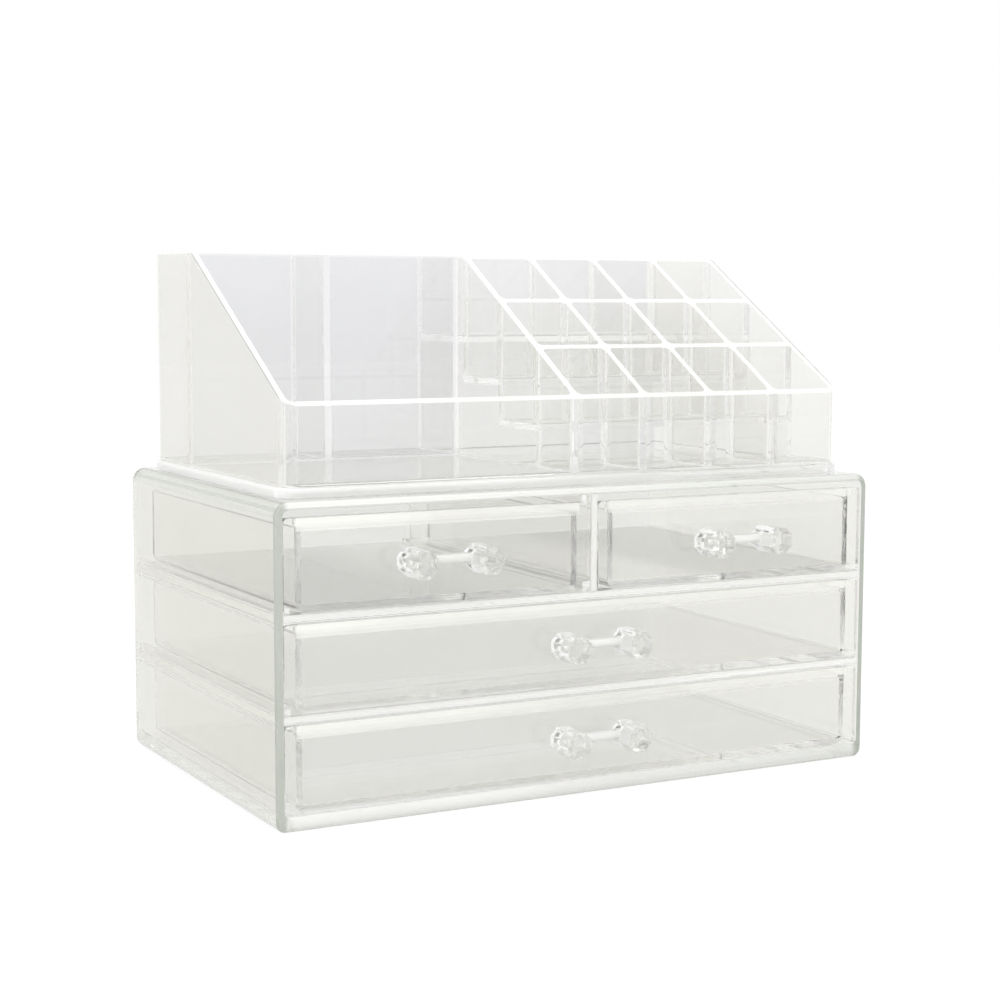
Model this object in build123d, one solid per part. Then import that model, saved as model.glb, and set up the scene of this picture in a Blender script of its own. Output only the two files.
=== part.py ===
from build123d import *
import os

os.makedirs("parts", exist_ok=True)

# Clear plastic makeup organizer: a four-drawer cabinet with a lift-off tray of compartments on top.
# Millimetres. X runs to the right, Y to the back and Z up. The origin is on the table, in the middle
# of the box that holds the whole organizer with its handles.

# Fits that the pieces share
overrun = 6.0  # how far a cut runs past the face that it opens
root_overlap = 1.0  # how far an added form is sunk into the wall that carries it
seat_gap = 0.15  # between pieces that are slotted or fixed together
drawer_gap = 0.5  # between a drawer and the case around it
stand_gap = 0.3  # between the tray's foot and the cabinet's top

# Cabinet case, open at the front
cabinet_width = 240.0
cabinet_depth = 146.8
cabinet_height = 108.8
case_wall = 2.6
case_top_radius = 5.0  # outer corners, seen from the front
case_bottom_radius = 3.5
case_cavity_radius = 2.0  # lower corners of the inside
case_mouth_radius = 1.2  # outer edge of the front rim
case_back_radius = 2.0  # outer edge of the back
floor_level = 5.2  # inside floor above the table
foot_rim_width = 7.0  # rim under the floor that the case stands on
foot_rim_radius = 4.0

# Shelves and divider, slotted between ribs of the case
top_tier_extra = 3.4  # by which the small drawers' tier is taller than the two below it
shelf_thickness = 2.6
divider_thickness = 2.6
plate_nose_radius = 0.8
channel_rib = 1.9
channel_reach = 3.4
channel_nose_radius = 0.7

# Drawers: a front panel with a tub behind it
panel_thickness = 2.6
panel_setback = 0.4  # behind the case's front rim
panel_corner_radius = 1.5
panel_top_gap = 0.8  # under the shelf above
small_panel_top_gap = 2.6  # under the cabinet's top
tub_wall = 2.2
tub_inset = 4.5  # from the panel's ends to the tub's sides, clear of the ribs
tub_drop = 3.5  # from the panel's top to the tub's rim
tub_radius = 3.2  # outer, along the tub's lower and rear edges
tub_back_gap = 2.2  # between the tub and the case's back
lip_height = 4.4  # thickened upper edge inside the panel
lip_thickness = 1.8
lip_radius = 0.8

# Handles: two faceted posts joined by a bar
post_spacing = 25.0
post_width = 9.4  # across flats
post_sides = 8
post_length = 13.5
post_bevel = 1.4
bar_diameter = 3.4
bar_standoff = 4.0  # from the post's foot to the bar's axis
bar_rise = 0.8  # of the bar's axis above the posts'
handle_height = 14.6  # above the panel's lower edge
peg_diameter = 4.0
peg_head_diameter = 6.0
peg_head_height = 0.8

# Compartment tray
tray_width = 226.0
tray_depth = 128.8
tray_height = 81.0
tray_front_height = 30.1
tray_flat_depth = 42.5  # level top behind the slope
tray_wall = 2.4
tray_corner_radius = 6.0
tray_knee_radius = 5.0  # between the level top and the slope
tray_floor_level = 3.9  # inside floor above the tray's foot
tray_foot_rim_width = 3.0
tray_foot_rim_height = 1.5
bead_flare = 1.4  # rounded foot around the walls
bead_height = 3.4
bead_radius = 1.2
slot_columns = 4
slot_rows = 3
slot_clear = 26.1  # inside of a square lipstick slot
slot_divider = 2.2
step_rise = 15.4
step_thickness = 2.2
brush_well_depth = 32.5  # the two upright wells at the back
well_corner_radius = 2.0
well_floor_radius = 0.8

# Places that follow from the sizes
handle_reach = seat_gap + post_length - panel_setback
front_y = (handle_reach - cabinet_depth) / 2
back_y = front_y + cabinet_depth
inner_back_y = back_y - case_wall
inner_half_width = cabinet_width / 2 - case_wall
ceiling_level = cabinet_height - case_wall
tier_height = (ceiling_level - floor_level - 2 * shelf_thickness - top_tier_extra) / 3
lower_shelf_level = floor_level + tier_height + shelf_thickness
upper_shelf_level = lower_shelf_level + tier_height + shelf_thickness
panel_front_y = front_y + panel_setback
panel_back_y = panel_front_y + panel_thickness
channel_front_y = panel_back_y + drawer_gap
tub_back_y = inner_back_y - tub_back_gap
tray_middle_y = (front_y + back_y) / 2
tray_front_y = tray_middle_y - tray_depth / 2
tray_back_y = tray_middle_y + tray_depth / 2
tray_foot = cabinet_height + stand_gap
tray_top = tray_foot + tray_height


def along_y(profile, y_front, y_back):
    """Extrude a profile seen from the front between two planes."""
    return extrude(Plane.XZ.offset(-y_back) * profile, amount=y_back - y_front)


def along_x(profile, x_low, x_high):
    """Extrude a profile seen from the right between two planes."""
    return extrude(Plane.YZ.offset(x_low) * profile, amount=x_high - x_low)


def block(x_low, x_high, y_low, y_high, z_low, z_high):
    """Plain block between two corners."""
    middle = Pos((x_low + x_high) / 2, (y_low + y_high) / 2, (z_low + z_high) / 2)
    return middle * Box(x_high - x_low, y_high - y_low, z_high - z_low)


def front_outline(width, z_low, z_high, lower_radius, upper_radius):
    """Outline seen from the front, with its lower and upper corners rounded."""
    outline = Pos(0, (z_low + z_high) / 2) * Rectangle(width, z_high - z_low)
    outline = fillet(outline.vertices().group_by(Axis.Y)[0], lower_radius)
    return fillet(outline.vertices().group_by(Axis.Y)[-1], upper_radius)


def nosed_plate(x_low, x_high, y_low, y_high, z_low, z_high, long_axis):
    """Plate whose two long front edges are rounded."""
    plate = block(x_low, x_high, y_low, y_high, z_low, z_high)
    front_edges = plate.faces().sort_by(Axis.Y)[0].edges()
    return fillet(front_edges.filter_by(long_axis), plate_nose_radius)


def side_rib(side, z_low):
    """One rib of a shelf's channel, along a side wall of the case."""
    x_tip = inner_half_width - channel_reach
    x_root = inner_half_width + root_overlap
    middle = Pos((x_tip + x_root) / 2, z_low + channel_rib / 2)
    outline = middle * Rectangle(x_root - x_tip, channel_rib)
    outline = fillet(outline.vertices().group_by(Axis.X)[0], channel_nose_radius)
    rib = along_y(outline, channel_front_y, inner_back_y + root_overlap)
    return rib if side > 0 else mirror(rib, about=Plane.YZ)


def divider_ribs(z_root, z_tip):
    """Pair of ribs that hold the divider's upper or lower edge."""
    z_low = min(z_root, z_tip)
    z_high = max(z_root, z_tip)
    x_near = divider_thickness / 2 + seat_gap
    right = block(x_near, x_near + channel_rib, channel_front_y, inner_back_y - seat_gap, z_low, z_high)
    return right + mirror(right, about=Plane.YZ)


def cabinet_case():
    """Open-fronted case with a standing rim under its floor and channels for the shelves."""
    outside = front_outline(cabinet_width, 0, cabinet_height, case_bottom_radius, case_top_radius)
    case = along_y(outside, front_y, back_y)
    case = fillet(case.faces().sort_by(Axis.Y)[0].edges(), case_mouth_radius)
    case = fillet(case.faces().sort_by(Axis.Y)[-1].edges(), case_back_radius)
    cavity_top_radius = case_top_radius - case_wall
    cavity_width = 2 * inner_half_width
    inside = front_outline(cavity_width, floor_level, ceiling_level, case_cavity_radius, cavity_top_radius)
    case -= along_y(inside, front_y - overrun, inner_back_y)
    pocket_width = cabinet_width - 2 * foot_rim_width
    pocket_depth = cabinet_depth - 2 * foot_rim_width
    pocket = RectangleRounded(pocket_width, pocket_depth, foot_rim_radius)
    pocket = extrude(pocket, overrun + floor_level - case_wall)
    case -= Pos(0, (front_y + back_y) / 2, -overrun) * pocket
    for level in (upper_shelf_level, lower_shelf_level):
        for side in (-1, 1):
            case += side_rib(side, level + seat_gap)
            case += side_rib(side, level - shelf_thickness - seat_gap - channel_rib)
    return case + divider_ribs(ceiling_level + root_overlap, ceiling_level - channel_reach)


def shelf(level):
    """Shelf plate that fills the case from side to side."""
    reach = inner_half_width - seat_gap
    underside = level - shelf_thickness
    return nosed_plate(-reach, reach, front_y, inner_back_y - seat_gap, underside, level, Axis.X)


def upper_shelf():
    """Shelf under the small drawers, with the ribs that hold the divider's foot."""
    ribs = divider_ribs(upper_shelf_level - root_overlap, upper_shelf_level + channel_reach)
    return shelf(upper_shelf_level) + ribs


def drawer_divider():
    """Upright plate between the small drawers."""
    half = divider_thickness / 2
    z_low = upper_shelf_level + seat_gap
    z_high = ceiling_level - seat_gap
    return nosed_plate(-half, half, front_y, inner_back_y - seat_gap, z_low, z_high, Axis.Z)


def tub_block(x_low, x_high, y_low, y_high, z_low, z_high, radius):
    """Block with rounded lower and rear edges, as a moulded drawer has."""
    raw = block(x_low, x_high, y_low, y_high, z_low, z_high)
    below_top = raw.edges().filter_by(lambda edge: edge.center().Z < z_high - radius / 2)
    soft = below_top.filter_by(lambda edge: edge.center().Y > y_low + radius / 2)
    return fillet(soft, radius)


def drawer(x_low, x_high, z_low, z_high):
    """Drawer in one moulding: overlapping front panel, tub and thickened upper edge."""
    panel_outline = RectangleRounded(x_high - x_low, z_high - z_low, panel_corner_radius)
    panel_middle = Pos((x_low + x_high) / 2, (z_low + z_high) / 2)
    panel = along_y(panel_middle * panel_outline, panel_front_y, panel_back_y)
    tub_low = x_low + tub_inset
    tub_high = x_high - tub_inset
    tub_top = z_high - tub_drop
    tub = tub_block(tub_low, tub_high, panel_back_y - root_overlap, tub_back_y, z_low, tub_top, tub_radius)
    hollow_radius = tub_radius - tub_wall
    hollow = tub_block(
        tub_low + tub_wall,
        tub_high - tub_wall,
        panel_back_y,
        tub_back_y - tub_wall,
        z_low + tub_wall,
        tub_top + overrun,
        hollow_radius,
    )
    lip_middle = Pos(panel_back_y + (lip_thickness - root_overlap) / 2, z_high - lip_height / 2)
    lip_outline = lip_middle * Rectangle(lip_thickness + root_overlap, lip_height)
    lip_outline = fillet(lip_outline.vertices().group_by(Axis.X)[-1], lip_radius)
    shape = panel + (tub - hollow) + along_x(lip_outline, tub_low, tub_high)
    for peg_x in peg_places((x_low + x_high) / 2):
        hole = Pos(peg_x, z_low + handle_height) * Circle(peg_diameter / 2 + seat_gap)
        shape -= along_y(hole, panel_front_y - overrun, panel_back_y + overrun)
    return shape


def peg_places(x_middle):
    """X of a handle's two posts."""
    return (x_middle - post_spacing / 2, x_middle + post_spacing / 2)


def handle(x_middle, z_middle):
    """Two faceted posts joined by a bar, with pegs spread inside the drawer's front."""
    foot_y = panel_front_y - seat_gap
    half_facet_turn = 360 / post_sides / 2
    facets = Rot(0, 0, half_facet_turn) * RegularPolygon(post_width / 2, post_sides, major_radius=False)
    bar_profile = Pos(foot_y - bar_standoff, z_middle + bar_rise) * Circle(bar_diameter / 2)
    shape = along_x(bar_profile, *peg_places(x_middle))
    head_y = panel_back_y + seat_gap
    for peg_x in peg_places(x_middle):
        post = along_y(Pos(peg_x, z_middle) * facets, foot_y - post_length, foot_y)
        post = chamfer(post.faces().sort_by(Axis.Y)[0].edges(), post_bevel)
        peg_end_y = head_y + peg_head_height
        peg = along_y(Pos(peg_x, z_middle) * Circle(peg_diameter / 2), foot_y - root_overlap, peg_end_y)
        head = along_y(Pos(peg_x, z_middle) * Circle(peg_head_diameter / 2), head_y, peg_end_y)
        shape += post + peg + head
    return shape


def well(x_low, x_high, y_low, y_high, floor):
    """Cutter for one compartment, open at the top and rounded in its corners."""
    outline = RectangleRounded(x_high - x_low, y_high - y_low, well_corner_radius)
    middle = Pos((x_low + x_high) / 2, (y_low + y_high) / 2, floor)
    cutter = middle * extrude(outline, tray_top + overrun - floor)
    return fillet(cutter.faces().sort_by(Axis.Z)[0].edges(), well_floor_radius)


def tray_side_outline():
    """Tray seen from the side: level top at the back, slope down to the front wall's outer face."""
    knee = (tray_back_y - tray_flat_depth, tray_top)
    slope = (tray_height - tray_front_height) / (tray_depth - tray_flat_depth)
    points = [
        (tray_front_y - overrun, tray_foot),
        (tray_front_y - overrun, tray_foot + tray_front_height - slope * overrun),
        knee,
        (tray_back_y + overrun, tray_top),
        (tray_back_y + overrun, tray_foot),
    ]
    outline = make_face(Polyline(*points, close=True))
    return fillet(outline.vertices().sort_by_distance(knee)[0], tray_knee_radius)


def compartment_tray():
    """Tray in one moulding: stepped lipstick slots on the right, open wells on the left and behind."""
    half = tray_width / 2
    right = half - tray_wall
    left = -right
    front = tray_front_y + tray_wall
    back = tray_back_y - tray_wall
    floor = tray_foot + tray_floor_level
    pitch = slot_clear + slot_divider
    grid_left = right - slot_columns * pitch + slot_divider
    grid_back = front + slot_rows * pitch
    spine_left = grid_left - tray_wall
    brush_front = back - brush_well_depth
    brush_width = (spine_left - left - tray_wall) / 2

    walls = RectangleRounded(tray_width, tray_depth, tray_corner_radius)
    shape = Pos(0, tray_middle_y, tray_foot) * extrude(walls, tray_height)
    shape &= along_x(tray_side_outline(), -half - overrun, half + overrun)
    bead_width = tray_width + 2 * bead_flare
    bead_depth = tray_depth + 2 * bead_flare
    bead = RectangleRounded(bead_width, bead_depth, tray_corner_radius + bead_flare)
    bead = Pos(0, tray_middle_y, tray_foot) * extrude(bead, bead_height)
    shape += fillet(bead.faces().sort_by(Axis.Z)[-1].edges(), bead_radius)

    shape -= well(left, spine_left, front, brush_front - tray_wall, floor)
    shape -= well(left, left + brush_width, brush_front, back, floor)
    shape -= well(spine_left - brush_width, spine_left, brush_front, back, floor)
    shape -= well(grid_left, right, grid_back, back, floor + slot_rows * step_rise)
    for row in range(slot_rows):
        slot_front = front + row * pitch
        for column in range(slot_columns):
            slot_left = grid_left + column * pitch
            slot_floor = floor + row * step_rise
            shape -= well(slot_left, slot_left + slot_clear, slot_front, slot_front + slot_clear, slot_floor)

    for step in range(1, slot_rows + 1):
        riser_back = front + step * pitch
        ceiling = floor + step * step_rise - step_thickness
        shape -= block(grid_left, right, riser_back, back, tray_foot - overrun, ceiling)
    rim = 2 * tray_foot_rim_width
    pocket = RectangleRounded(tray_width - rim, tray_depth - rim, tray_corner_radius - tray_foot_rim_width)
    shape -= Pos(0, tray_middle_y, tray_foot - overrun) * extrude(pocket, overrun + tray_foot_rim_height)
    return shape


# Drawer fronts: left and right edges, lower and upper edges
panel_reach = inner_half_width - drawer_gap
divider_side = divider_thickness / 2 + drawer_gap
small_low = upper_shelf_level + drawer_gap
small_high = ceiling_level - small_panel_top_gap
middle_low = lower_shelf_level + drawer_gap
middle_high = upper_shelf_level - shelf_thickness - panel_top_gap
bottom_low = floor_level + drawer_gap
bottom_high = lower_shelf_level - shelf_thickness - panel_top_gap
fronts = {
    "small_left": (-panel_reach, -divider_side, small_low, small_high),
    "small_right": (divider_side, panel_reach, small_low, small_high),
    "middle": (-panel_reach, panel_reach, middle_low, middle_high),
    "bottom": (-panel_reach, panel_reach, bottom_low, bottom_high),
}
drawer_names = {
    "small_left": "small_drawer_left",
    "small_right": "small_drawer_right",
    "middle": "middle_drawer",
    "bottom": "bottom_drawer",
}

nodes = {
    "cabinet_case": cabinet_case(),
    "upper_shelf": upper_shelf(),
    "lower_shelf": shelf(lower_shelf_level),
    "drawer_divider": drawer_divider(),
    "compartment_tray": compartment_tray(),
}
for place, (x_low, x_high, z_low, z_high) in fronts.items():
    nodes[drawer_names[place]] = drawer(x_low, x_high, z_low, z_high)
    nodes["handle_" + place] = handle((x_low + x_high) / 2, z_low + handle_height)

for name, shape in nodes.items():
    export_step(shape, "parts/" + name + ".step")
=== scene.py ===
import math

import bmesh
import bpy
from mathutils import Matrix, Vector


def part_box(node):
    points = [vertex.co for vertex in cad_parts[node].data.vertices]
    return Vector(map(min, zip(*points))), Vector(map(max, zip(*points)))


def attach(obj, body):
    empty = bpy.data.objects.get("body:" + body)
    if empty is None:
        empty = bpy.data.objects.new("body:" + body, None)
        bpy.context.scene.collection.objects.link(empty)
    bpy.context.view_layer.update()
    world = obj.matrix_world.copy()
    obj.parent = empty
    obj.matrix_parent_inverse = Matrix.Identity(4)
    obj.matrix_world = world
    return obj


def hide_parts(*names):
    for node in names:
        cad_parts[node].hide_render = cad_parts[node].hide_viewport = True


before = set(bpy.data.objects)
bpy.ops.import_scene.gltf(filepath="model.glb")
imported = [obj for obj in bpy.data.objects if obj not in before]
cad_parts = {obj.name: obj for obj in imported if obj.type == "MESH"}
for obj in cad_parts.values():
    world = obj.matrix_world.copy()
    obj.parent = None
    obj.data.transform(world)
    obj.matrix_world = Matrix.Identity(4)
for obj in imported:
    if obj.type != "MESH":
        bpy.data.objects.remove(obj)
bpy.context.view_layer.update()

# Cabinet case: one injection moulding in clear styrene, open at the front, with ribs inside that
# hold the shelves. The walls are glossy and faintly milky, and look deeper where one sees along
# them, on the front rim and on the rounds of the outer edges; there the deep colour is partly
# painted shade. The rim also carries painted dark lines under the top, along the back and at the
# foot, and a painted reflection along its top, light on the left and grey to the right. The
# outsides of the side walls are darker with painted shade.


class Shade:
    """A value in a finish's nodes. Sums and products of such values add Math nodes."""

    def __init__(self, tree, socket=None):
        self.tree = tree
        self.socket = socket

    def node(self, kind, settings, values, output=0):
        made = self.tree.nodes.new("ShaderNode" + kind)
        for name, value in settings.items():
            setattr(made, name, value)
        for name, value in values.items():
            if isinstance(value, Shade):
                self.tree.links.new(value.socket, made.inputs[name])
            else:
                made.inputs[name].default_value = value
        return Shade(self.tree, made.outputs[output] if made.outputs else None)

    def math(self, operation, *terms):
        return self.node("Math", {"operation": operation}, dict(enumerate(terms)))

    def __add__(self, other):
        return self.math("ADD", self, other)

    __radd__ = __add__

    def __sub__(self, other):
        return self.math("SUBTRACT", self, other)

    def __rsub__(self, other):
        return self.math("SUBTRACT", other, self)

    def __mul__(self, other):
        return self.math("MULTIPLY", self, other)

    __rmul__ = __mul__

    def __abs__(self):
        return self.math("ABSOLUTE", self)

    def most(self, other):
        return self.math("MAXIMUM", self, other)

    def mixed(self, first, second, blend="MIX"):
        """From the first colour at 0 to the second, or to both blended, at 1."""
        settings = {"data_type": "RGBA", "blend_type": blend}
        return self.node("Mix", settings, {0: self, 6: first, 7: second}, 2)

    def step(self, low, high):
        """0 below low and 1 above high, with a soft change between them."""
        settings = {"interpolation_type": "SMOOTHSTEP"}
        return self.node("MapRange", settings, {0: self, 1: low, 2: high})

    def axis(self, name):
        """One coordinate of a place."""
        return self.node("SeparateXYZ", {}, {"Vector": self}, name)


def clear_styrene(name, tint, veil_tint, veil, through=False):
    """Clear moulded plastic: a glossy skin with a thin milky veil, as moulded walls show against a
    white ground. veil_tint and veil may follow the place, and many finishes below put painted light
    and shade into them. A wall that light runs along inside is veiled through, on the inner side of
    its faces as well."""
    flow_stretch, flow_scale, flow_range = (1.0, 0.35, 1.6), 26.0, (0.35, 0.7)
    flow_tint = (0.95, 0.95, 0.94, 1)
    rub_stretch, rub_range, rub_roughness = (40.0, 900.0, 700.0), (0.5, 0.8), 0.01
    touch_scale, touch_roughness = 34.0, 0.008
    clean_roughness, veil_roughness = 0.006, 0.35
    ripple_scale, ripple_height = 38.0, 0.000002
    refraction = 1.5
    made = bpy.data.materials.new(name)
    made.use_nodes = True
    made.node_tree.nodes.clear()
    paint = Shade(made.node_tree)
    place = paint.node("TexCoord", {}, {}, "Object")
    drawn = paint.node("Mapping", {}, {"Vector": place, "Scale": flow_stretch})
    flow = paint.node("TexNoise", {}, {"Vector": drawn, "Scale": flow_scale, "Detail": 3.0})
    brushed = paint.node("Mapping", {}, {"Vector": place, "Scale": rub_stretch})
    rubs = paint.node("TexNoise", {}, {"Vector": brushed, "Scale": 1.0, "Detail": 2.0})
    touch = paint.node("TexNoise", {}, {"Vector": place, "Scale": touch_scale, "Detail": 2.0})
    gloss = clean_roughness + rubs.step(*rub_range) * rub_roughness + touch * touch_roughness
    ripple = paint.node("TexNoise", {}, {"Vector": place, "Scale": ripple_scale, "Detail": 1.0})
    bump = paint.node("Bump", {}, {"Strength": 1.0, "Distance": ripple_height, "Height": ripple})
    skin = {"Base Color": tint, "Roughness": gloss, "Normal": bump}
    skin.update({"IOR": refraction, "Transmission Weight": 1.0})
    clear = paint.node("BsdfPrincipled", {}, skin)
    if callable(veil_tint):
        veil_tint = veil_tint(place)
    if callable(veil):
        veil = veil(place)
    streaked = flow.step(*flow_range).mixed(veil_tint, flow_tint, "MULTIPLY")
    haze = {"Base Color": streaked, "Roughness": veil_roughness, "Normal": bump}
    milk = paint.node("BsdfPrincipled", {}, haze)
    if not through:
        veil = veil * (1 - paint.node("NewGeometry", {}, {}, "Backfacing"))
    both = paint.node("MixShader", {}, {0: veil, 1: clear, 2: milk})
    paint.node("OutputMaterial", {}, {"Surface": both})
    return made


def moulded(node, body, finishes, pick, split=None):
    """The CAD solid as one welded skin, smooth over its rounds and crisp at its edges. pick says
    which of the finishes a face takes, and split gives a level at which faces are parted first."""
    weld, cut_margin = 2e-6, 1e-6
    flat, crease = math.radians(0.2), math.radians(28)
    shape = bmesh.new()
    shape.from_mesh(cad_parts[node].data)
    bmesh.ops.remove_doubles(shape, verts=shape.verts, dist=weld)
    bmesh.ops.dissolve_limit(shape, angle_limit=flat, verts=shape.verts, edges=shape.edges)
    if split:
        whole = shape.verts[:] + shape.edges[:] + shape.faces[:]
        at = {"plane_co": (0, 0, split), "plane_no": (0, 0, 1)}
        bmesh.ops.bisect_plane(shape, geom=whole, dist=cut_margin, **at)
    for face in shape.faces:
        face.smooth = True
        face.material_index = pick(face)
    for edge in shape.edges:
        edge.smooth = edge.calc_face_angle(0.0) < crease
    mesh = bpy.data.meshes.new(node + "_skin")
    shape.to_mesh(mesh)
    shape.free()
    for finish in finishes:
        mesh.materials.append(finish)
    piece = bpy.data.objects.new(node + "_clear", mesh)
    bpy.context.scene.collection.objects.link(piece)
    level = piece.modifiers.new("flat_faces_stay_flat", "WEIGHTED_NORMAL")
    level.weight = 100
    level.keep_sharp = True
    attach(piece, body)
    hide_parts(node)


case_low, case_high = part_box("cabinet_case")
case_wall = 0.0026
ceiling = case_high.z - case_wall
back_face = case_high.y - case_wall
rim_front, rim_back = case_low.y + 0.0012, case_low.y + 0.0018
# Rim colours: a painted reflection from light to grey along the top, and grey rounds and a deep
# colour that are partly the plastic's depth and partly painted shade.
painted_light_rim, painted_grey_rim = (0.96, 0.96, 0.92, 1), (0.66, 0.68, 0.62, 1)
grey_round_and_painted_shade, deep_rim_and_painted_shade = (0.62, 0.64, 0.57, 1), (0.36, 0.39, 0.33, 1)


def case_veil(place):
    """A little more on the back wall than on the others."""
    wall_share, back_rise, soft_edge = 0.06, 0.08, 0.0002
    return wall_share + place.axis("Y").step(back_face - soft_edge, back_face) * back_rise


def upright_rim(place):
    """1 on the upright parts of the front rim, where one looks along the whole wall."""
    left = 1 - place.axis("X").step(case_low.x + case_wall, case_low.x + 2 * case_wall)
    right = place.axis("X").step(case_high.x - 2 * case_wall, case_high.x - case_wall)
    return left.most(right) * (1 - place.axis("Y").step(rim_front, rim_back))


def rim_painted_light_and_shade(place):
    """Painted light and shade on the rim: a painted reflection along the top, light on the left and
    grey to the right; a deep colour on the uprights and grey on the rounds, partly the plastic's
    depth seen along the wall and partly painted shade; painted dark lines under the top, along the
    back and at the foot.
    """
    line_begins = (ceiling - 0.0006, ceiling - 0.0001)
    line_ends = (ceiling + 0.0005, ceiling + 0.0009)
    foot_range, foot_depth = (0.0004, 0.0034), 0.8
    rear_range = (case_high.y - 0.003, case_high.y - 0.002)
    to_right = (-0.06, 0.1)
    height = place.axis("Z")
    under = height.step(*line_begins) * (1 - height.step(*line_ends))
    foot = 1 - height.step(*foot_range)
    rear = place.axis("Y").step(*rear_range)
    painted_top_reflection = place.axis("X").step(*to_right).mixed(painted_light_rim, painted_grey_rim)
    rounds = place.axis("Y").step(rim_front, rim_back).mixed(painted_top_reflection, grey_round_and_painted_shade)
    deep_and_painted_shade = upright_rim(place).most(under).most(rear).most(foot * foot_depth)
    return deep_and_painted_shade.mixed(rounds, deep_rim_and_painted_shade)


def rim_veil_and_painted_shade(place):
    """Thickest on the right-hand upright, which stands against the white ground, so that its
    painted shade is darkest there.
    """
    rim_share, upright_rise, right_rise, to_right = 0.38, 0.32, 0.12, (0.0, 0.05)
    right = place.axis("X").step(*to_right)
    return rim_share + upright_rim(place) * (upright_rise + right * right_rise)


def on_case(face):
    """1 on the front rim and the rounds of the outer edges, 2 on the outsides of the side walls."""
    rim_depth, side_depth, least_turn = 0.0014, 0.0003, 0.06
    middle = face.calc_center_median()
    outward = middle - (case_low + case_high) / 2
    faced = sum(
        face.normal[axis] * outward[axis] > 0.0 and abs(face.normal[axis]) > least_turn
        for axis in range(3)
    )
    if faced > 1 or all(vert.co.y < case_low.y + rim_depth for vert in face.verts):
        return 1
    return 2 * int(faced == 1 and abs(middle.x) > case_high.x - side_depth)


case_finishes = (
    clear_styrene("clear_case", (0.985, 0.985, 0.97, 1), (0.86, 0.86, 0.8, 1), case_veil),
    # Painted light and shade on the front rim and the rounds of the outer edges.
    clear_styrene("clear_case_edge_painted_light_and_shade", (0.93, 0.94, 0.91, 1), rim_painted_light_and_shade, rim_veil_and_painted_shade),
    # Painted shade: the outsides of the side walls take a darker, greener finish.
    clear_styrene("clear_case_side_painted_shade", (0.88, 0.875, 0.81, 1), (0.7, 0.7, 0.62, 1), 0.17),
)
moulded("cabinet_case", "cabinet", case_finishes, on_case)

# Shelves and divider: flat plates of the same clear plastic with rounded front edges. The shelves
# are slid in between pairs of ribs on the case's sides, and the divider between ribs under the
# case's top and on the upper shelf.

sheet_tint = (0.99, 0.99, 0.98, 1)
plate_finishes = (
    clear_styrene("clear_plate", sheet_tint, (0.9, 0.9, 0.87, 1), 0.025),
    # Painted light: a thick white veil on the plates' front edges, for the light that glows out of
    # them.
    clear_styrene("clear_plate_nose_painted_light", sheet_tint, (0.95, 0.95, 0.9, 1), 0.25),
)


def on_nose(face):
    """1 on a plate's front edge, apart from its lower side."""
    nose_back, lower_side = case_low.y + 0.0011, -0.3
    nose = all(vert.co.y < nose_back for vert in face.verts)
    return int(nose and face.normal.z > lower_side)


for node in ("upper_shelf", "lower_shelf", "drawer_divider"):
    moulded(node, "cabinet", plate_finishes, on_nose)

# Drawers: one clear moulding each, a front panel with a shallow tub behind it and a thickened
# upper edge between the tub's sides. They stand loose on the floor and the shelves, and slide.

lip_height, panel_thickness, tub_inset = 0.0044, 0.0026, 0.0045
floor_height = 0.004


def painted_floor_shade(place):
    """Painted shade on the small drawers' floors: thickest in the left-hand drawer, and thin
    between the two.
    """
    left_share, middle_drop, right_rise = 0.3, 0.27, 0.2
    to_middle, to_right = (-0.075, -0.03), (0.035, 0.06)
    across = place.axis("X")
    return left_share - across.step(*to_middle) * middle_drop + across.step(*to_right) * right_rise


def painted_base_shade(place):
    """Painted shade under the small drawers' floors, thinnest at the right-hand drawer's left end.
    """
    left_share, middle_drop, right_rise = 0.1, 0.075, 0.055
    to_middle, to_right = (-0.01, 0.005), (0.04, 0.06)
    across = place.axis("X")
    return left_share - across.step(*to_middle) * middle_drop + across.step(*to_right) * right_rise


panel_finish = clear_styrene("clear_drawer", sheet_tint, (0.9, 0.9, 0.86, 1), 0.06)
side_finish = clear_styrene("clear_drawer_side", sheet_tint, (0.75, 0.75, 0.68, 1), 0.02, True)
floor_painted_shade_finish = clear_styrene("clear_drawer_floor_painted_shade", sheet_tint, (0.85, 0.85, 0.83, 1), painted_floor_shade)
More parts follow.
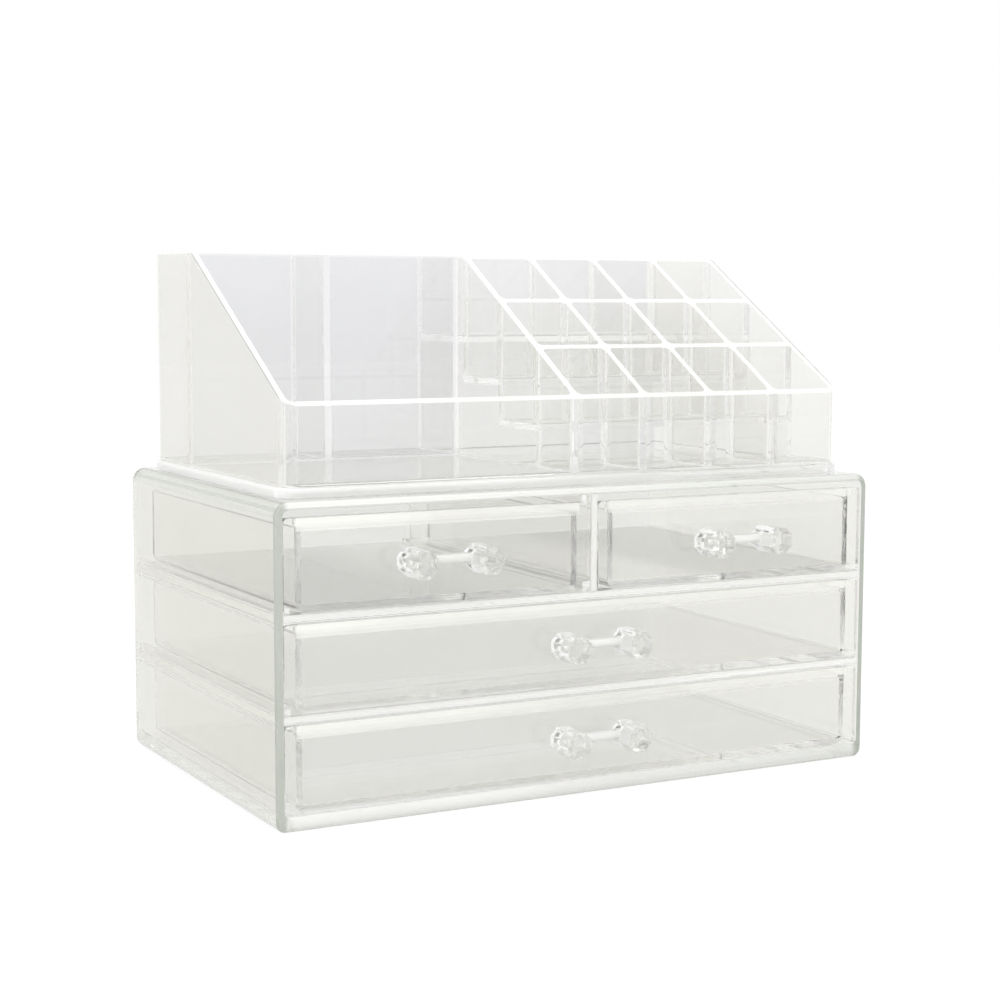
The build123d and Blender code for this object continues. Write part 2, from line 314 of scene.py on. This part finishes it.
# Painted shade: a dark veil on the undersides of the small drawers' floors.
base_painted_shade_finish = clear_styrene("clear_drawer_base_painted_shade", sheet_tint, (0.6, 0.6, 0.55, 1), painted_base_shade, True)
for node in ("small_drawer_left", "small_drawer_right", "middle_drawer", "bottom_drawer"):
    drawer_low, drawer_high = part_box(node)
    lip_low = drawer_high.z - lip_height
    panel_back = drawer_low.y + panel_thickness

    def painted_lip_light(place):
        """Painted light: a white band between the tub's sides, thickest at the top and fading to
        the right.
        """
        lip_share, right_drop, to_right = 0.68, 0.36, (-0.07, 0.06)
        lower_part, end_part, soft_end = 0.6, 0.25, 0.0006
        upwards = (lip_low + 0.0008, lip_low + 0.003)
        left, right = drawer_low.x + tub_inset, drawer_high.x - tub_inset
        across = place.axis("X")
        between = across.step(left - soft_end, left) - across.step(right, right + soft_end)
        upper = place.axis("Z").step(*upwards)
        share = lip_share - across.step(*to_right) * right_drop
        share = share * (lower_part + upper * (1 - lower_part))
        return share * (end_part + between * (1 - end_part))

    def on_drawer(face):
        """1 before the thickened upper edge, 2 on the tub's sides, 3 on a small drawer's floor and
        4 under it."""
        frontward, square = -0.5, 0.9
        middle = face.calc_center_median()
        if middle.y < panel_back:
            return int(middle.z > lip_low and face.normal.y < frontward)
        if abs(face.normal.x) > square:
            return 2
        level = abs(face.normal.z) > square and middle.z < drawer_low.z + floor_height
        if level and node.startswith("small"):
            return 3 if face.normal.z > 0 else 4
        return 0

    lip_painted_light_finish = clear_styrene(node + "_lip_painted_light_finish", sheet_tint, (0.97, 0.97, 0.92, 1), painted_lip_light)
    finishes = (panel_finish, lip_painted_light_finish, side_finish, floor_painted_shade_finish, base_painted_shade_finish)
    moulded(node, node + "_body", finishes, on_drawer, lip_low)

# Handles: one small clear moulding on each drawer, two faceted posts joined by a round bar.
# A peg on each post goes through the drawer's front and is spread on the inside.

handle_tint = (0.99, 0.99, 0.985, 1)
post_width, bar_margin = 0.0094, 0.0002
handle_finishes = (
    clear_styrene("clear_handle", handle_tint, (0.96, 0.96, 0.94, 1), 0.1),
    # Painted highlight: a thick white veil makes the bar between the posts bright.
    clear_styrene("clear_handle_bar_painted_highlight", handle_tint, (0.98, 0.98, 0.965, 1), 0.6),
)
for node, body in (
    ("handle_small_left", "small_drawer_left_body"),
    ("handle_small_right", "small_drawer_right_body"),
    ("handle_middle", "middle_drawer_body"),
    ("handle_bottom", "bottom_drawer_body"),
):
    handle_low, handle_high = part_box(node)
    bar_half = (handle_high.x - handle_low.x) / 2 - post_width + bar_margin
    bar_middle = (handle_low.x + handle_high.x) / 2

    def on_handle(face):
        """1 on the bar between the posts."""
        return int(all(abs(vert.co.x - bar_middle) < bar_half for vert in face.verts))

    moulded(node, body, handle_finishes, on_handle)

# Compartment tray: one deep clear moulding with sloping walls, stepped slots on the right, wells
# for brushes and bottles on the left, and a bead around its foot. It stands loose on the cabinet.

tray_low, tray_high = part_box("compartment_tray")
tray_clear = (0.99, 0.99, 0.985, 1)
# Painted light: the white that the tray's rims and bead glow with.
painted_light_white = (0.98, 0.98, 0.965, 1)


def tray_rear(place):
    """1 on the tall walls behind the slope."""
    slope_end = (0.028, 0.033)
    return place.axis("Y").step(*slope_end)


def tray_painted_shade_tint(place):
    """Painted shade: warm and light on the low walls, cooler and darker on the tall walls behind.
    """
    warm, cool_painted_shade = (0.95, 0.94, 0.9, 1), (0.68, 0.685, 0.785, 1)
    return tray_rear(place).mixed(warm, cool_painted_shade)


def tray_veil_painted_shade(place):
    """Carries that painted shade: thicker behind and towards the right-hand end, thinnest where the
    slots begin.
    """
    wall_share, rear_rise, slot_drop, end_rise = 0.06, 0.12, 0.03, 0.09
    to_slots, to_end = (-0.02, -0.01), (0.05, 0.09)
    across, rear = place.axis("X"), tray_rear(place)
    slots, end = across.step(*to_slots) * (1 - rear), across.step(*to_end)
    return wall_share + rear * rear_rise - slots * slot_drop + end * end_rise


def outer_side(place):
    """1 on the outsides of the side walls."""
    wall_range = (tray_high.x - 0.0022, tray_high.x - 0.0016)
    return abs(place.axis("X")).step(*wall_range)


def tray_side_painted_shade(place):
    """Painted shade: deeper on the outsides of the side walls."""
    inner, outer_painted_shade = (0.97, 0.95, 0.87, 1), (0.76, 0.74, 0.665, 1)
    return outer_side(place).mixed(inner, outer_painted_shade)


def tray_side_veil_painted_shade(place):
    """Painted shade, thickest on the outsides of the side walls, thinnest on the first partitions
    of the slots.
    """
    well_share, slot_drop, end_rise, outer_rise = 0.06, 0.03, 0.08, 0.23
    to_slots, to_end = (-0.02, -0.01), (0.02, 0.06)
    across = place.axis("X")
    slots, end = across.step(*to_slots), across.step(*to_end)
    return well_share - slots * slot_drop + end * end_rise + outer_side(place) * outer_rise


def tray_edge_painted_light(place):
    """Painted light on the walls' top edges, with a painted dark line along the outer edge of the
    side walls for the reflection it catches.
    """
    line, soft_line, painted_line_grey = 0.0017, 0.002, (0.38, 0.38, 0.36, 1)
    left = 1 - place.axis("X").step(tray_low.x + line, tray_low.x + soft_line)
    right = place.axis("X").step(tray_high.x - soft_line, tray_high.x - line)
    return left.most(right).mixed(painted_light_white, painted_line_grey)


def painted_bead_light(place):
    """Painted light: a white veil on the bead, thick on the left, thinner towards the right-hand
    end.
    """
    left_share, right_drop, to_right = 0.6, 0.45, (-0.02, 0.07)
    return left_share - place.axis("X").step(*to_right) * right_drop


def on_tray(face):
    """1 on the walls' top edges, level or sloped, 2 on side walls, 3 on the bead around the foot,
    4 on the floor."""
    front_y, front_z, knee_y = -0.057775, 0.1392, 0.028525
    rim_margin, bead_top, floor_top = 0.0008, 0.0036, 0.006
    underside, upward, sideways = -0.5, 0.9, 0.7
    slope = (tray_high.z - front_z) / (knee_y - front_y)
    rim = all(
        abs(vert.co.z - min(tray_high.z, front_z + slope * (vert.co.y - front_y))) < rim_margin
        for vert in face.verts
    )
    if rim:
        return 1
    if all(vert.co.z < tray_low.z + bead_top for vert in face.verts):
        return 3 * int(face.normal.z > underside)
    if face.normal.z > upward and face.calc_center_median().z < tray_low.z + floor_top:
        return 4
    return 2 * int(abs(face.normal.x) > sideways)


tray_finishes = (
    clear_styrene("clear_tray", tray_clear, tray_painted_shade_tint, tray_veil_painted_shade),
    clear_styrene("clear_tray_edge_painted_light", tray_clear, tray_edge_painted_light, 0.7),
    clear_styrene("clear_tray_side_painted_shade", (0.99, 0.989, 0.973, 1), tray_side_painted_shade, tray_side_veil_painted_shade),
    clear_styrene("clear_tray_bead_painted_light", tray_clear, painted_light_white, painted_bead_light),
    clear_styrene("clear_tray_floor", (0.98, 0.985, 0.97, 1), (0.8, 0.82, 0.75, 1), 0.2),
)
moulded("compartment_tray", "tray", tray_finishes, on_tray)

# Table and room: a white table that runs on into the backdrop, under a room that darkens a little
# towards its ceiling. The table keeps the object's shadow, and glass shows the same white ground.

table_half, table_drop = 4.0, 0.0002
white, table_white, shadow_grey = (1, 1, 1, 1), (0.85, 0.85, 0.85, 1), (0.12, 0.12, 0.12, 1)
table_glow, seen_glow = 0.87, 0.06
room_glow, dusk_drop, dusk_range, light_glow = 0.96, 0.15, (0.05, 0.6), 0.95
table_shape = bmesh.new()
bmesh.ops.create_grid(table_shape, x_segments=2, y_segments=2, size=table_half)
bmesh.ops.translate(table_shape, verts=table_shape.verts, vec=(0, 0, -table_drop))
table_mesh = bpy.data.meshes.new("table")
table_shape.to_mesh(table_mesh)
table_shape.free()
table = bpy.data.objects.new("table", table_mesh)
bpy.context.scene.collection.objects.link(table)
table_paint = bpy.data.materials.new("white_table")
table_paint.use_nodes = True
table_paint.node_tree.nodes.clear()
table_mesh.materials.append(table_paint)
paint = Shade(table_paint.node_tree)
seen = paint.node("LightPath", {}, {}, "Is Camera Ray")
mirrored = paint.node("LightPath", {}, {}, "Is Glossy Ray")
passed = paint.node("LightPath", {}, {}, "Is Transmission Ray")
watched = seen.most(mirrored).most(passed)
matt = paint.node("BsdfDiffuse", {}, {"Color": table_white})
shaded = paint.node("BsdfDiffuse", {}, {"Color": shadow_grey})
glow = paint.node("Emission", {}, {"Color": white, "Strength": table_glow + seen * seen_glow})
backdrop = paint.node("AddShader", {}, {0: shaded, 1: glow})
both = paint.node("MixShader", {}, {0: watched, 1: matt, 2: backdrop})
paint.node("OutputMaterial", {}, {"Surface": both})

room = bpy.data.worlds.new("studio")
bpy.context.scene.world = room
room.use_nodes = True
room.node_tree.nodes.clear()
paint = Shade(room.node_tree)
seen = paint.node("LightPath", {}, {}, "Is Camera Ray")
mirrored = paint.node("LightPath", {}, {}, "Is Glossy Ray")
passed = paint.node("LightPath", {}, {}, "Is Transmission Ray")
height = paint.node("TexCoord", {}, {}, "Generated").axis("Z")
dusk = room_glow - height.step(*dusk_range) * dusk_drop
glass = mirrored.most(passed)
strength = seen + glass * dusk + (1 - seen - glass) * light_glow
sky = paint.node("Background", {}, {"Color": white, "Strength": strength})
paint.node("OutputWorld", {}, {"Surface": sky})

# Lamps and camera: one large soft lamp overhead with a fill in front, both turned to the object.
# The camera stands where the photograph's perspective puts it.

lamp_target = Vector((0, 0, 0.08))
for name, spot, size, power in (
    ("overhead_softbox", (-0.15, -0.25, 1.1), 0.9, 4.0),
    ("front_fill", (-0.9, -1.0, 0.6), 0.7, 2.5),
):
    lamp = bpy.data.lights.new(name, "AREA")
    lamp.size = size
    lamp.energy = power
    holder = bpy.data.objects.new(name, lamp)
    holder.location = spot
    holder.rotation_euler = (lamp_target - Vector(spot)).to_track_quat("-Z", "Y").to_euler()
    bpy.context.scene.collection.objects.link(holder)

azimuth, elevation, roll = math.radians(-28.44), math.radians(5.95), math.radians(0.18)
camera_place = (-0.35684, -0.655885, 0.17587)
reach = math.cos(elevation)
back = Vector((math.sin(azimuth) * reach, -math.cos(azimuth) * reach, math.sin(elevation)))
level = (-back).cross(Vector((0, 0, 1))).normalized()
rise = level.cross(-back)
right = level * math.cos(roll) + rise * math.sin(roll)
up = rise * math.cos(roll) - level * math.sin(roll)
turn = Matrix((right, up, back)).transposed().to_4x4()
lens = bpy.data.cameras.new("camera")
lens.lens = 71.24
lens.sensor_width = 36.0
lens.clip_start = 0.01
camera = bpy.data.objects.new("camera", lens)
camera.matrix_world = Matrix.Translation(camera_place) @ turn
bpy.context.scene.collection.objects.link(camera)
bpy.context.scene.camera = camera
bpy.context.scene.view_settings.view_transform = "Standard"
bpy.context.scene.cycles.max_bounces = 128
bpy.context.scene.cycles.transmission_bounces = 128
bpy.context.scene.cycles.glossy_bounces = 128
bpy.context.scene.cycles.diffuse_bounces = 12
